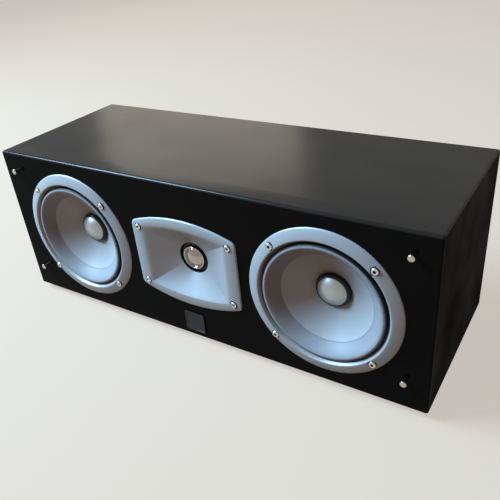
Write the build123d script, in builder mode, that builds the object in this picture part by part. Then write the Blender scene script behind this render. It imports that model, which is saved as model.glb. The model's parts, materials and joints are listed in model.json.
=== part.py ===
from build123d import *
import os
from math import atan2, degrees, sqrt

# Centre channel loudspeaker: a wide closed cabinet with a woofer on each side of a horn-loaded dome tweeter.
# Millimetres. +X is the viewer's right, -Y points out of the front and +Z is up. The origin lies on the
# standing surface, under the middle of everything. Driver levels are distances ahead of the baffle's face.

# Fits shared by all pieces
FIT = 0.3  # room round a piece that drops into a cut-out
THREAD_FIT = 0.1  # room round a screw or stud in its own hole
GLUE = 0.1  # glue line between round pieces

# Cabinet
BAFFLE = 18.0  # front board
BOARD = 15.0  # the other boards
CABINET_DEPTH = 165.0
END_MARGIN = 22.3  # woofer trim to cabinet end
TOP_MARGIN = 13.3  # woofer trim to cabinet top and bottom
EDGE_RADIUS = 2.4  # eased long edges
FRONT_EDGE = 2.0  # eased rim of the baffle
FOOT_RADIUS = 9.0
FOOT_HEIGHT = 6.0
FOOT_CHAMFER = 1.0
FOOT_INSET = 30.0  # foot centre from the cabinet's ends, front and rear
WADDING_WIDTH = 140.0
WADDING_HEIGHT = 105.0
WADDING_THICK = 30.0
WADDING_ROUND = 8.0

# Grille pegs and badge plate
PEG_NECK_RADIUS = 1.4
PEG_NECK = 4.8  # baffle face to the underside of the head
PEG_HEAD_RADIUS = 2.9
PEG_HEAD = 1.7
PEG_DISH = 0.5  # hollow in the head's face
PEG_ROOT = 10.0  # length held in the baffle
PEG_END = 20.0  # peg from the cabinet's end
PEG_TOP = 18.5  # upper pegs from the cabinet's top
PEG_BOTTOM = 29.5  # lower pegs from the cabinet's bottom
BADGE_SIDE = 22.5
BADGE_THICK = 1.2
BADGE_CORNER = 1.5
BADGE_BOTTOM = 18.0  # badge centre from the cabinet's bottom

# Screws that hold the drivers
SCREW_RADIUS = 1.75
SCREW_BITE = 10.0  # length held in the baffle
SCREW_HEAD_RADIUS = 3.1
SCREW_HEAD = 2.4
SCREW_HEAD_ROUND = 1.0
SCREW_SOCKET_RADIUS = 1.5  # across the corners of the hexagon
SCREW_SOCKET_DEPTH = 1.6
COUNTERBORE_RADIUS = 4.0
TRIM_SEAT = 2.0  # trim left under a screw's head
HORN_SEAT = 0.9  # waveguide left under a screw's head

# Woofer front: trim ring, gasket and surround
TRIM_RADIUS = 69.2
TRIM_WIDTH = 12.6
TRIM_RISE = 4.0
TRIM_ROUND = 1.6
TRIM_FALL = 1.4  # slope of the trim's band towards its outer edge
TRIM_BEVEL = 2.6  # width of the inner bevel
TRIM_LIP = 0.4  # height of the trim's inner edge
TRIM_SCREW_INSET = 5.8
FLANGE_COVER = 3.0  # trim that overlaps the baffle
FLANGE = 2.5  # basket flange thickness
RUBBER = 0.7  # surround thickness
GASKET = 0.8
ROLL_GAP = 1.6  # dark gap between trim and surround
ROLL_WIDTH = 12.0
ROLL_RISE = 4.0
FOOT_DROP = 4.4  # inner edge of the surround below its lip
FOOT_LIP = 1.4  # surround glued to the cone's rim

# Woofer cone and coil
PAPER = 1.0  # cone thickness
CONE_RIM = 1.0  # rim outside the roll's inner edge
CONE_DEPTH = 16.0
CONE_FLARE = 1.1  # bow of the cone below a straight line
COLLAR_RADIUS = 16.4
COLLAR_RISE = 3.8
COLLAR_WALL = 1.2
CAP_RISE = 5.6
CAP_WALL = 0.6
NECK_LENGTH = 4.1
COIL_RADIUS = 12.7  # inside of the coil former
FORMER = 0.5
WINDING = 0.7
WINDING_LENGTH = 10.0
COIL_TAIL = 2.0  # former below the winding
AIR_GAP = 0.5

# Woofer basket, spider and magnet
BASKET = 2.0  # basket wall
BASKET_WAIST = 20.0  # baffle face to the basket's shoulder
BASKET_TAPER = 2.7
BASKET_WINDOWS = 6
WINDOW_WIDTH = 30.0
WINDOW_TOP = 8.0  # baffle face to the windows
SPIDER_RADIUS = 37.0
SPIDER_SHELF = 5.0
SPIDER_CLOTH = 0.8
SPIDER_WAVE = 1.6
SPIDER_WAVES = 4
SPIDER_DROP = 4.0  # cone neck to spider shelf
SPIDER_ROOM = 8.0  # spider shelf to basket bottom
PLATE = 5.0  # steel plate thickness
PLATE_RADIUS = 40.0
MAGNET = 16.0
MAGNET_RADIUS = 45.0
MAGNET_BORE = 24.0
POLE_VENT = 4.0

# Tweeter waveguide
DRIVER_GAP = 10.9  # waveguide to woofer trim
HORN_LIFT = 2.0  # waveguide centre above the woofers' centres
HORN_HALF_WIDTH = 58.4
HORN_HALF_HEIGHT = 45.6
HORN_END_HEIGHT = 36.3  # half height at the ends
HORN_CORNER = 5.0
HORN_RISE = 2.3
HORN_EDGE = 1.2
HORN_SCREW_X = 8.0  # screws from the waveguide's end
HORN_SCREW_Z = 6.7  # screws from the height at the ends
MOUTH_INSET_END = 13.0
MOUTH_INSET_TOP = 9.8
MOUTH_INSET_CORNER = 5.8
HORN_WALL = 2.0
HORN_POCKET = 5.0  # pocket in the baffle for the mouth
THROAT_RADIUS = 16.2
THROAT_DEPTH = 12.0
BOSS = 4.0  # seat for the motor behind the throat
BOSS_RADIUS = 28.0

# Tweeter dome and motor
DOME_FILM = 0.4
DOME_RISE = 4.2
DOME_COIL_RADIUS = 11.9
DOME_COIL = 0.6
DOME_COIL_LENGTH = 5.0
DOME_GAP = 0.4
DOME_SEAT = 1.4  # dome's rim ahead of the top plate
SUSPENSION = 0.5
SUSPENSION_GAP = 2.7  # roll between dome and throat ring
SUSPENSION_RISE = 0.8
TWEETER_PLATE = 4.0
TWEETER_MAGNET = 10.0
TWEETER_MAGNET_RADIUS = 30.0
TWEETER_MAGNET_BORE = 18.0
CAN_WALL = 1.2
CAN_GAP = 2.0
CAN_LAP = 14.0  # can's rim ahead of the yoke's back

# Terminals
CUP_WIDTH = 80.0
CUP_HEIGHT = 60.0
CUP_FLANGE = 2.0
CUP_WALL = 2.0
CUP_MARGIN = 12.0  # flange round the recess
CUP_DEPTH = 22.0
CUP_CORNER = 6.0
CUP_SCREW_INSET = 5.5
CUP_SCREW_RADIUS = 1.6
CUP_SCREW_HEAD_RADIUS = 2.8
CUP_SCREW_HEAD = 1.2
CUP_SCREW_BITE = 10.0
POST_SPACING = 19.0
POST_RADIUS = 3.0
POST_BORE = 2.0
POST_BORE_DEPTH = 14.0
POST_LENGTH = 17.0  # cup floor to the post's end
POST_TAIL = 9.0  # behind the cup's floor
POST_COLLAR_RADIUS = 6.5
POST_COLLAR = 3.0
WASHER_RADIUS = 6.2
WASHER = 0.8
KNOB_RADIUS = 6.6
KNOB_LENGTH = 13.6
KNOB_FLUTES = 12
KNOB_FLUTE_RADIUS = 0.7
KNOB_FIT = 0.08  # knob on the post's thread
NUT_SIZE = 10.0  # across the flats
NUT = 3.0

# Crossover
CARD_LENGTH = 92.0
CARD_WIDTH = 62.0
CARD = 1.6
CARD_SPACER = 6.0
CARD_SPACER_RADIUS = 3.0
CARD_SPACER_INSET = 6.0
CHOKE_RADIUS = 15.0
CHOKE_CORE_RADIUS = 6.5
CHOKE_HEIGHT = 16.0
CHOKE_CHEEK = 1.5
CHOKE_CHEEK_LIP = 2.0
CAPACITOR_RADIUS = 7.0
CAPACITOR_LENGTH = 28.0
CAPACITOR_PITCH = 17.0
RESISTOR_LENGTH = 32.0
RESISTOR_SIDE = 8.0
CARD_MARGIN = 5.0  # components from the card's edges

# Places worked out from the sizes
HORN_REACH = HORN_HALF_WIDTH + DRIVER_GAP
WOOFER_X = HORN_REACH + TRIM_RADIUS
CABINET_WIDTH = 2 * (WOOFER_X + TRIM_RADIUS + END_MARGIN)
CABINET_HEIGHT = 2 * (TRIM_RADIUS + TOP_MARGIN)
PEG_REACH = PEG_NECK + PEG_HEAD
FRONT_Y = (PEG_REACH - CABINET_DEPTH - CUP_FLANGE) / 2
REAR_Y = FRONT_Y + CABINET_DEPTH
MID_Z = FOOT_HEIGHT + CABINET_HEIGHT / 2
HORN_Z = MID_Z + HORN_LIFT
INNER_WIDTH = CABINET_WIDTH - 2 * BOARD
INNER_HEIGHT = CABINET_HEIGHT - 2 * BOARD

TRIM_INNER = TRIM_RADIUS - TRIM_WIDTH
TRIM_SCREW = (TRIM_RADIUS - TRIM_SCREW_INSET) / sqrt(2)
FLANGE_RADIUS = TRIM_RADIUS - FLANGE_COVER
FLANGE_TOP = -(RUBBER + GASKET)
REBATE = FLANGE + RUBBER + GASKET
LIP_RADIUS = TRIM_RADIUS - TRIM_SCREW_INSET - SCREW_RADIUS - 2 * FIT
ROLL_OUTER = TRIM_INNER - ROLL_GAP
ROLL_INNER = ROLL_OUTER - ROLL_WIDTH
RIM_TOP = FLANGE_TOP - FOOT_DROP
CONE_SHELF = RIM_TOP - CONE_DEPTH
NECK_END = CONE_SHELF - NECK_LENGTH
SPIDER_SEAT = NECK_END - SPIDER_DROP
BASKET_END = SPIDER_SEAT - SPIDER_ROOM
PLATE_END = BASKET_END - PLATE
MAGNET_END = PLATE_END - MAGNET
FORMER_RADIUS = COIL_RADIUS + FORMER
PLATE_BORE = FORMER_RADIUS + WINDING + AIR_GAP

MOUTH_WIDTH = HORN_HALF_WIDTH - MOUTH_INSET_END
MOUTH_HEIGHT = HORN_HALF_HEIGHT - MOUTH_INSET_TOP
MOUTH_CORNER = HORN_END_HEIGHT - MOUTH_INSET_CORNER
HORN_SCREW = (HORN_HALF_WIDTH - HORN_SCREW_X, HORN_END_HEIGHT - HORN_SCREW_Z)
SKIRT_THROAT = THROAT_RADIUS + HORN_WALL
SKIRT_CORNER = sqrt((MOUTH_WIDTH + HORN_WALL) ** 2 + (MOUTH_CORNER + HORN_WALL) ** 2)
TWEETER_CUTOUT = SKIRT_CORNER - (SKIRT_CORNER - SKIRT_THROAT) * HORN_POCKET / THROAT_DEPTH + FIT
MOTOR_FRONT = -(THROAT_DEPTH + BOSS)
DOME_RIM = MOTOR_FRONT + DOME_SEAT
TWEETER_PLATE_END = MOTOR_FRONT - TWEETER_PLATE
TWEETER_MAGNET_END = TWEETER_PLATE_END - TWEETER_MAGNET
TWEETER_END = TWEETER_MAGNET_END - TWEETER_PLATE
CAN_RADIUS = TWEETER_MAGNET_RADIUS + CAN_GAP + CAN_WALL

CUP_FLOOR = -CUP_DEPTH
RECESS_WIDTH = CUP_WIDTH - 2 * CUP_MARGIN
RECESS_HEIGHT = CUP_HEIGHT - 2 * CUP_MARGIN
KNOB_SEAT = CUP_FLOOR + POST_COLLAR + WASHER
CARD_Y = FRONT_Y + BAFFLE + (CABINET_DEPTH - BAFFLE - BOARD) / 2
CARD_BOTTOM = FOOT_HEIGHT + BOARD + CARD_SPACER
CARD_TOP = CARD_BOTTOM + CARD

os.makedirs("parts", exist_ok=True)


def keep(piece, name):
    piece.part.label = name
    export_step(piece.part, f"parts/{name}.step")


def face_plane(x, z, ahead=0.0):
    """Plane parallel to the baffle that looks out of the front."""
    return Plane(origin=(x, FRONT_Y - ahead, z), x_dir=(1, 0, 0), z_dir=(0, -1, 0))


def rear_plane(ahead=0.0):
    """Plane parallel to the rear board that looks out of the back."""
    return Plane(origin=(0, REAR_Y + ahead, MID_Z), x_dir=(-1, 0, 0), z_dir=(0, 1, 0))


def floor_plane(height):
    return Plane(origin=(0, CARD_Y, height), x_dir=(1, 0, 0), z_dir=(0, 0, 1))


def half_section(x, z):
    """Half section of a driver: local x is the radius and local y is the distance ahead of the baffle."""
    return Plane(origin=(x, FRONT_Y, z), x_dir=(1, 0, 0), z_dir=(0, 0, -1))


def driver_axis(x, z):
    return Axis((x, FRONT_Y, z), (0, -1, 0))


def turned(x, z, *outline):
    """Piece turned from a closed outline of (radius, ahead) points."""
    with BuildPart() as piece:
        with BuildSketch(half_section(x, z)):
            with BuildLine():
                Polyline(*outline, close=True)
            make_face()
        revolve(axis=driver_axis(x, z))
    return piece


def ring(x, z, inner, outer, low, high):
    return turned(x, z, (inner, low), (outer, low), (outer, high), (inner, high))


def bow_outline(half_width, half_middle, half_end):
    """Four edges: bowed top and bottom, straight ends."""
    with BuildLine() as outline:
        ThreePointArc((-half_width, half_end), (0, half_middle), (half_width, half_end))
        Line((half_width, half_end), (half_width, -half_end))
        ThreePointArc((half_width, -half_end), (0, -half_middle), (-half_width, -half_end))
        Line((-half_width, -half_end), (-half_width, half_end))
    make_face(outline.edges())


def quartered_circle(radius, corner_angle):
    """Circle in four arcs that meet on the lines to a mouth's corners."""
    turn = 180 - 2 * corner_angle
    with BuildLine() as circle:
        CenterArc((0, 0), radius, corner_angle, turn)
        CenterArc((0, 0), radius, 180 - corner_angle, 2 * corner_angle)
        CenterArc((0, 0), radius, 180 + corner_angle, turn)
        CenterArc((0, 0), radius, -corner_angle, 2 * corner_angle)
    make_face(circle.edges())


def dome_arc(radius, rim, rise):
    """Arc of a dome's section from its rim to its crown on the driver's axis."""
    crown = rim + rise
    sphere = (radius**2 + rise**2) / (2 * rise)
    half_way = radius / 2
    ThreePointArc((radius, rim), (half_way, crown - sphere + sqrt(sphere**2 - half_way**2)), (0, crown))


# Cabinet boards: four mitred boards wrap round, the rear board is let in and the baffle covers the front


def wrap_board(name, wedge):
    """One side of the mitred wrap, cut out by a wedge that ends at the mitres."""
    with BuildPart() as board:
        with BuildSketch(face_plane(0, MID_Z, -BAFFLE)):
            RectangleRounded(CABINET_WIDTH, CABINET_HEIGHT, EDGE_RADIUS)
            Rectangle(INNER_WIDTH, INNER_HEIGHT, mode=Mode.SUBTRACT)
            with BuildLine():
                Polyline(*wedge, close=True)
            make_face(mode=Mode.INTERSECT)
        extrude(amount=BAFFLE - CABINET_DEPTH)
    keep(board, name)


half_w = CABINET_WIDTH / 2
half_h = CABINET_HEIGHT / 2
ridge = half_w - half_h
wrap_board("top_panel", ((-half_w, half_h), (half_w, half_h), (ridge, 0), (-ridge, 0)))
wrap_board("bottom_panel", ((-half_w, -half_h), (half_w, -half_h), (ridge, 0), (-ridge, 0)))
wrap_board("left_side_panel", ((-half_w, half_h), (-half_w, -half_h), (-ridge, 0)))
wrap_board("right_side_panel", ((half_w, half_h), (half_w, -half_h), (ridge, 0)))

cup_screw_x = CUP_WIDTH - 2 * CUP_SCREW_INSET
cup_screw_z = CUP_HEIGHT - 2 * CUP_SCREW_INSET
with BuildPart() as rear_panel:
    with BuildSketch(rear_plane()):
        Rectangle(INNER_WIDTH, INNER_HEIGHT)
        room = 2 * (CUP_WALL + FIT)
        RectangleRounded(RECESS_WIDTH + room, RECESS_HEIGHT + room, CUP_CORNER, mode=Mode.SUBTRACT)
    extrude(amount=-BOARD)
    with BuildSketch(rear_plane()):
        with GridLocations(cup_screw_x, cup_screw_z, 2, 2):
            Circle(CUP_SCREW_RADIUS + THREAD_FIT)
    extrude(amount=-CUP_SCREW_BITE, mode=Mode.SUBTRACT)
keep(rear_panel, "rear_panel")

peg_x = half_w - PEG_END
peg_places = [(x, z) for x in (-peg_x, peg_x) for z in (half_h - PEG_TOP, PEG_BOTTOM - half_h)]
woofer_places = [(-WOOFER_X, 0), (WOOFER_X, 0)]
trim_corners = [(x, z) for x in (-TRIM_SCREW, TRIM_SCREW) for z in (-TRIM_SCREW, TRIM_SCREW)]
trim_screws = [(woofer_x + x, z) for woofer_x, _ in woofer_places for x, z in trim_corners]
horn_x, horn_z = HORN_SCREW
horn_screws = [(x, HORN_LIFT + z) for x in (-horn_x, horn_x) for z in (-horn_z, horn_z)]

with BuildPart() as front_baffle:
    with BuildSketch(face_plane(0, MID_Z)):
        RectangleRounded(CABINET_WIDTH, CABINET_HEIGHT, EDGE_RADIUS)
    extrude(amount=-BAFFLE)
    fillet(front_baffle.faces().sort_by(Axis.Y)[0].edges(), FRONT_EDGE)
    with BuildSketch(face_plane(0, MID_Z)):
        with Locations(*woofer_places):
            Circle(FLANGE_RADIUS + FIT)
    extrude(amount=-REBATE, mode=Mode.SUBTRACT)
    with BuildSketch(face_plane(0, MID_Z)):
        with Locations(*woofer_places):
            Circle(TRIM_INNER)
        with Locations((0, HORN_LIFT)):
            Circle(TWEETER_CUTOUT)
    extrude(amount=-BAFFLE, mode=Mode.SUBTRACT)
    with BuildSketch(face_plane(0, HORN_Z)):
        room = HORN_WALL + FIT
        bow_outline(MOUTH_WIDTH + room, MOUTH_HEIGHT + room, MOUTH_CORNER + room)
    extrude(amount=-HORN_POCKET, mode=Mode.SUBTRACT)
    with BuildSketch(face_plane(0, MID_Z)):
        with Locations(*trim_screws):
            Circle(SCREW_RADIUS + THREAD_FIT)
    extrude(amount=-(REBATE + SCREW_BITE), mode=Mode.SUBTRACT)
    with BuildSketch(face_plane(0, MID_Z)):
        with Locations(*horn_screws):
            Circle(SCREW_RADIUS + THREAD_FIT)
    extrude(amount=-SCREW_BITE, mode=Mode.SUBTRACT)
    with BuildSketch(face_plane(0, MID_Z)):
        with Locations(*peg_places):
            Circle(PEG_NECK_RADIUS + THREAD_FIT)
    extrude(amount=-PEG_ROOT, mode=Mode.SUBTRACT)
keep(front_baffle, "front_baffle")

# What stands on the baffle and under the cabinet

with BuildPart() as grille_pegs:
    with BuildSketch(face_plane(0, MID_Z, -PEG_ROOT)):
        with Locations(*peg_places):
            Circle(PEG_NECK_RADIUS)
    extrude(amount=PEG_ROOT + PEG_NECK)
    with BuildSketch(face_plane(0, MID_Z, PEG_NECK)):
        with Locations(*peg_places):
            Circle(PEG_HEAD_RADIUS)
    extrude(amount=PEG_HEAD)
    with BuildSketch(face_plane(0, MID_Z, PEG_REACH)):
        with Locations(*peg_places):
            Circle(PEG_NECK_RADIUS)
    extrude(amount=-PEG_DISH, mode=Mode.SUBTRACT)
keep(grille_pegs, "grille_pegs")

with BuildPart() as badge_plate:
    with BuildSketch(face_plane(0, FOOT_HEIGHT + BADGE_BOTTOM)):
        RectangleRounded(BADGE_SIDE, BADGE_SIDE, BADGE_CORNER)
    extrude(amount=BADGE_THICK)
    chamfer(badge_plate.faces().sort_by(Axis.Y)[0].edges(), BADGE_THICK / 3)
keep(badge_plate, "badge_plate")

foot_x = CABINET_WIDTH - 2 * FOOT_INSET
foot_y = CABINET_DEPTH - 2 * FOOT_INSET
with BuildPart() as rubber_feet:
    with BuildSketch(Plane(origin=(0, (FRONT_Y + REAR_Y) / 2, 0))):
        with GridLocations(foot_x, foot_y, 2, 2):
            Circle(FOOT_RADIUS)
    extrude(amount=FOOT_HEIGHT)
    chamfer(rubber_feet.faces().group_by(Axis.Z)[0].edges(), FOOT_CHAMFER)
keep(rubber_feet, "rubber_feet")

with BuildPart() as damping_wadding:
    with BuildSketch(rear_plane(-BOARD)):
        with Locations(*woofer_places):
            RectangleRounded(WADDING_WIDTH, WADDING_HEIGHT, WADDING_ROUND)
    extrude(amount=-WADDING_THICK)
keep(damping_wadding, "damping_wadding")


def screw_set(name, places, seat, length):
    """Button-headed socket screws whose heads sit at one level."""
    with BuildPart() as screws:
        with BuildSketch(face_plane(0, MID_Z, seat)):
            with Locations(*places):
                Circle(SCREW_HEAD_RADIUS)
        extrude(amount=SCREW_HEAD)
        fillet(screws.faces().group_by(Axis.Y)[0].edges(), SCREW_HEAD_ROUND)
        with BuildSketch(face_plane(0, MID_Z, seat + SCREW_HEAD)):
            with Locations(*places):
                RegularPolygon(SCREW_SOCKET_RADIUS, 6)
        extrude(amount=-SCREW_SOCKET_DEPTH, mode=Mode.SUBTRACT)
        with BuildSketch(face_plane(0, MID_Z, seat)):
            with Locations(*places):
                Circle(SCREW_RADIUS)
        extrude(amount=-length)
    keep(screws, name)


# Woofers


def woofer(side, x):
    z = MID_Z
    screws = [(x + corner_x, corner_z) for corner_x, corner_z in trim_corners]

    # Trim ring: a rounded rim, a band that falls towards it, an inner bevel and four counterbores
    with BuildPart() as trim_ring:
        with BuildSketch(half_section(x, z)) as rim:
            with BuildLine():
                Polyline(
                    (TRIM_INNER, 0),
                    (TRIM_RADIUS, 0),
                    (TRIM_RADIUS, TRIM_RISE - TRIM_FALL),
                    (TRIM_INNER + TRIM_BEVEL, TRIM_RISE),
                    (TRIM_INNER, TRIM_LIP),
                    close=True,
                )
            make_face()
            fillet(rim.vertices().group_by(Axis.X)[-1].sort_by(Axis.Y)[-1], TRIM_ROUND)
        revolve(axis=driver_axis(x, z))
        with BuildSketch(face_plane(0, z, TRIM_SEAT)):
            with Locations(*screws):
                Circle(COUNTERBORE_RADIUS)
        extrude(amount=TRIM_RISE, mode=Mode.SUBTRACT)
        with BuildSketch(face_plane(0, z)):
            with Locations(*screws):
                Circle(SCREW_RADIUS + FIT)
        extrude(amount=TRIM_RISE, mode=Mode.SUBTRACT)
    keep(trim_ring, f"{side}_woofer_trim_ring")
    screw_set(f"{side}_woofer_screws", screws, TRIM_SEAT, TRIM_SEAT + REBATE + SCREW_BITE)

    keep(ring(x, z, TRIM_INNER + FIT, LIP_RADIUS, -GASKET, 0), f"{side}_woofer_gasket")

    # Surround: flat lip under the gasket, half roll, and a foot glued to the cone's rim
    lip_top = FLANGE_TOP + RUBBER
    foot_top = RIM_TOP + RUBBER
    crest = ((ROLL_OUTER + ROLL_INNER) / 2, lip_top + ROLL_RISE)
    with BuildPart() as surround:
        with BuildSketch(half_section(x, z)):
            with BuildLine():
                Polyline((ROLL_OUTER - RUBBER, FLANGE_TOP), (LIP_RADIUS, FLANGE_TOP), (LIP_RADIUS, lip_top),
                         (ROLL_OUTER, lip_top))
                ThreePointArc((ROLL_OUTER, lip_top), crest, (ROLL_INNER, foot_top))
                Polyline((ROLL_INNER, foot_top), (ROLL_INNER - FOOT_LIP, foot_top),
                         (ROLL_INNER - FOOT_LIP, RIM_TOP), (ROLL_INNER + RUBBER, RIM_TOP))
                ThreePointArc((ROLL_INNER + RUBBER, RIM_TOP), (crest[0], crest[1] - RUBBER),
                              (ROLL_OUTER - RUBBER, FLANGE_TOP))
            make_face()
        revolve(axis=driver_axis(x, z))
    keep(surround, f"{side}_woofer_surround")

    # Cone: flat rim, bowed wall, a shelf for the cap's collar and a neck round the coil former
    rim_inner = ROLL_INNER - FOOT_LIP
    neck = FORMER_RADIUS + GLUE
    middle = ((rim_inner + COLLAR_RADIUS) / 2, (RIM_TOP + CONE_SHELF) / 2 - CONE_FLARE)
    with BuildPart() as cone:
        with BuildSketch(half_section(x, z)):
            with BuildLine():
                Polyline((COLLAR_RADIUS, CONE_SHELF), (neck, CONE_SHELF), (neck, NECK_END),
                         (neck + PAPER, NECK_END), (neck + PAPER, CONE_SHELF - PAPER),
                         (COLLAR_RADIUS, CONE_SHELF - PAPER))
                ThreePointArc((COLLAR_RADIUS, CONE_SHELF - PAPER), (middle[0], middle[1] - PAPER),
                              (rim_inner, RIM_TOP - PAPER))
                Polyline((rim_inner, RIM_TOP - PAPER), (ROLL_INNER + CONE_RIM, RIM_TOP - PAPER),
                         (ROLL_INNER + CONE_RIM, RIM_TOP), (rim_inner, RIM_TOP))
                ThreePointArc((rim_inner, RIM_TOP), middle, (COLLAR_RADIUS, CONE_SHELF))
            make_face()
        revolve(axis=driver_axis(x, z))
    keep(cone, f"{side}_woofer_cone")

    # Collar: a dark tapered ring on the cone's shelf that carries the dust cap
    cap_seat = CONE_SHELF + COLLAR_RISE
    cap_radius = FORMER_RADIUS + GLUE
    collar = turned(
        x, z, (cap_radius - COLLAR_WALL, CONE_SHELF), (COLLAR_RADIUS, CONE_SHELF),
        (COLLAR_RADIUS, CONE_SHELF + CAP_WALL), (cap_radius, cap_seat), (cap_radius - COLLAR_WALL, cap_seat),
    )
    keep(collar, f"{side}_woofer_cap_collar")

    with BuildPart() as dust_cap:
        with BuildSketch(half_section(x, z)):
            with BuildLine():
                dome_arc(cap_radius, cap_seat, CAP_RISE)
                Line((0, cap_seat + CAP_RISE), (0, cap_seat + CAP_RISE - CAP_WALL))
                dome_arc(cap_radius - COLLAR_WALL, cap_seat, CAP_RISE - CAP_WALL)
                Line((cap_radius - COLLAR_WALL, cap_seat), (cap_radius, cap_seat))
            make_face()
        revolve(axis=driver_axis(x, z))
    keep(dust_cap, f"{side}_woofer_dust_cap")

    # Voice coil: paper former with the copper winding centred on the top plate
    winding_top = BASKET_END - PLATE / 2 + WINDING_LENGTH / 2
    winding_end = winding_top - WINDING_LENGTH
    coil_end = winding_end - COIL_TAIL
    coil = turned(
        x, z, (COIL_RADIUS, CONE_SHELF), (FORMER_RADIUS, CONE_SHELF), (FORMER_RADIUS, winding_top),
        (FORMER_RADIUS + WINDING, winding_top), (FORMER_RADIUS + WINDING, winding_end),
        (FORMER_RADIUS, winding_end), (FORMER_RADIUS, coil_end), (COIL_RADIUS, coil_end),
    )
    keep(coil, f"{side}_woofer_voice_coil")

    # Spider: pleated cloth from the coil to the basket's shelf
    shelf_inner = SPIDER_RADIUS - SPIDER_SHELF
    pleat_inner = neck + PAPER
    pitch = (shelf_inner - pleat_inner) / (2 * SPIDER_WAVES)
    folds = range(2 * SPIDER_WAVES + 1)
    pleats = [(shelf_inner - pitch * fold, SPIDER_SEAT + SPIDER_WAVE * (fold % 2)) for fold in folds]
    under = [(SPIDER_RADIUS, SPIDER_SEAT), *pleats, (neck, SPIDER_SEAT)]
    over = [(r, h + SPIDER_CLOTH) for r, h in reversed(under)]
    keep(turned(x, z, *under, *over), f"{side}_woofer_spider")

    # Basket: pressed flange, tapered wall with windows, spider shelf and a cup that the magnet hangs from
    wall = TRIM_INNER - FIT
    waist = wall - BASKET_TAPER
    cup = SPIDER_RADIUS - SPIDER_SHELF
    coil_hole = PLATE_BORE + FIT
    with BuildPart() as basket:
        with BuildSketch(half_section(x, z)):
            with BuildLine():
                Polyline(
                    (FLANGE_RADIUS, FLANGE_TOP), (FLANGE_RADIUS, -REBATE), (wall, -REBATE),
                    (waist, -BASKET_WAIST), (SPIDER_RADIUS + BASKET, SPIDER_SEAT - BASKET),
                    (cup + BASKET, SPIDER_SEAT - BASKET),
                    (cup + BASKET, BASKET_END), (coil_hole, BASKET_END), (coil_hole, BASKET_END + BASKET),
                    (cup, BASKET_END + BASKET), (cup, SPIDER_SEAT), (SPIDER_RADIUS + FIT, SPIDER_SEAT),
                    (waist - BASKET, BASKET / 2 - BASKET_WAIST), (wall - BASKET, FLANGE_TOP),
                    close=True,
                )
            make_face()
        revolve(axis=driver_axis(x, z))
        with BuildSketch(face_plane(x, z, -WINDOW_TOP)):
            with PolarLocations((wall + SPIDER_RADIUS + BASKET) / 2, BASKET_WINDOWS):
                Rectangle(wall - SPIDER_RADIUS, WINDOW_WIDTH)
        extrude(amount=SPIDER_SEAT + WINDOW_TOP - BASKET, mode=Mode.SUBTRACT)
        with BuildSketch(face_plane(0, z)):
            with Locations(*screws):
                Circle(SCREW_RADIUS + FIT)
        extrude(amount=-REBATE, mode=Mode.SUBTRACT)
    keep(basket, f"{side}_woofer_basket")

    # Motor: steel top plate, ring magnet, and a yoke whose vented pole stands inside the coil
    pole = COIL_RADIUS - AIR_GAP
    keep(ring(x, z, PLATE_BORE, PLATE_RADIUS, PLATE_END, BASKET_END), f"{side}_woofer_top_plate")
    keep(ring(x, z, MAGNET_BORE, MAGNET_RADIUS, MAGNET_END, PLATE_END), f"{side}_woofer_magnet")
    yoke_end = MAGNET_END - PLATE
    yoke = turned(
        x, z, (POLE_VENT, yoke_end), (PLATE_RADIUS, yoke_end), (PLATE_RADIUS, MAGNET_END),
        (pole, MAGNET_END), (pole, BASKET_END), (POLE_VENT, BASKET_END),
    )
    keep(yoke, f"{side}_woofer_yoke")


woofer("left", -WOOFER_X)
woofer("right", WOOFER_X)

# Tweeter: the waveguide's bowed mouth narrows to a round throat over four creased faces

corner_angle = degrees(atan2(MOUTH_CORNER, MOUTH_WIDTH))
with BuildPart() as waveguide:
    with BuildSketch(face_plane(0, HORN_Z)) as flange:
        bow_outline(HORN_HALF_WIDTH, HORN_HALF_HEIGHT, HORN_END_HEIGHT)
        fillet(flange.vertices(), HORN_CORNER)
    extrude(amount=HORN_RISE)
    fillet(waveguide.faces().sort_by(Axis.Y)[0].edges(), HORN_EDGE)
    with BuildSketch(face_plane(0, HORN_Z)):
        bow_outline(MOUTH_WIDTH + HORN_WALL, MOUTH_HEIGHT + HORN_WALL, MOUTH_CORNER + HORN_WALL)
    with BuildSketch(face_plane(0, HORN_Z, -THROAT_DEPTH)):
        quartered_circle(THROAT_RADIUS + HORN_WALL, corner_angle)
    loft(ruled=True)
    with BuildSketch(face_plane(0, HORN_Z, MOTOR_FRONT)):
        Circle(BOSS_RADIUS)
    extrude(amount=BOSS)
    with BuildSketch(face_plane(0, HORN_Z, HORN_RISE)):
        bow_outline(MOUTH_WIDTH, MOUTH_HEIGHT, MOUTH_CORNER)
    with BuildSketch(face_plane(0, HORN_Z, -THROAT_DEPTH)):
        quartered_circle(THROAT_RADIUS, corner_angle)
    loft(ruled=True, mode=Mode.SUBTRACT)
    with BuildSketch(face_plane(0, HORN_Z, MOTOR_FRONT)):
        Circle(THROAT_RADIUS + FIT)
    extrude(amount=BOSS, mode=Mode.SUBTRACT)
    with BuildSketch(face_plane(0, MID_Z, HORN_SEAT)):
        with Locations(*horn_screws):
            Circle(COUNTERBORE_RADIUS)
    extrude(amount=HORN_RISE, mode=Mode.SUBTRACT)
    with BuildSketch(face_plane(0, MID_Z)):
        with Locations(*horn_screws):
            Circle(SCREW_RADIUS + FIT)
    extrude(amount=HORN_RISE, mode=Mode.SUBTRACT)
keep(waveguide, "tweeter_waveguide")
screw_set("tweeter_screws", horn_screws, HORN_SEAT, HORN_SEAT + SCREW_BITE)

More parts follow.
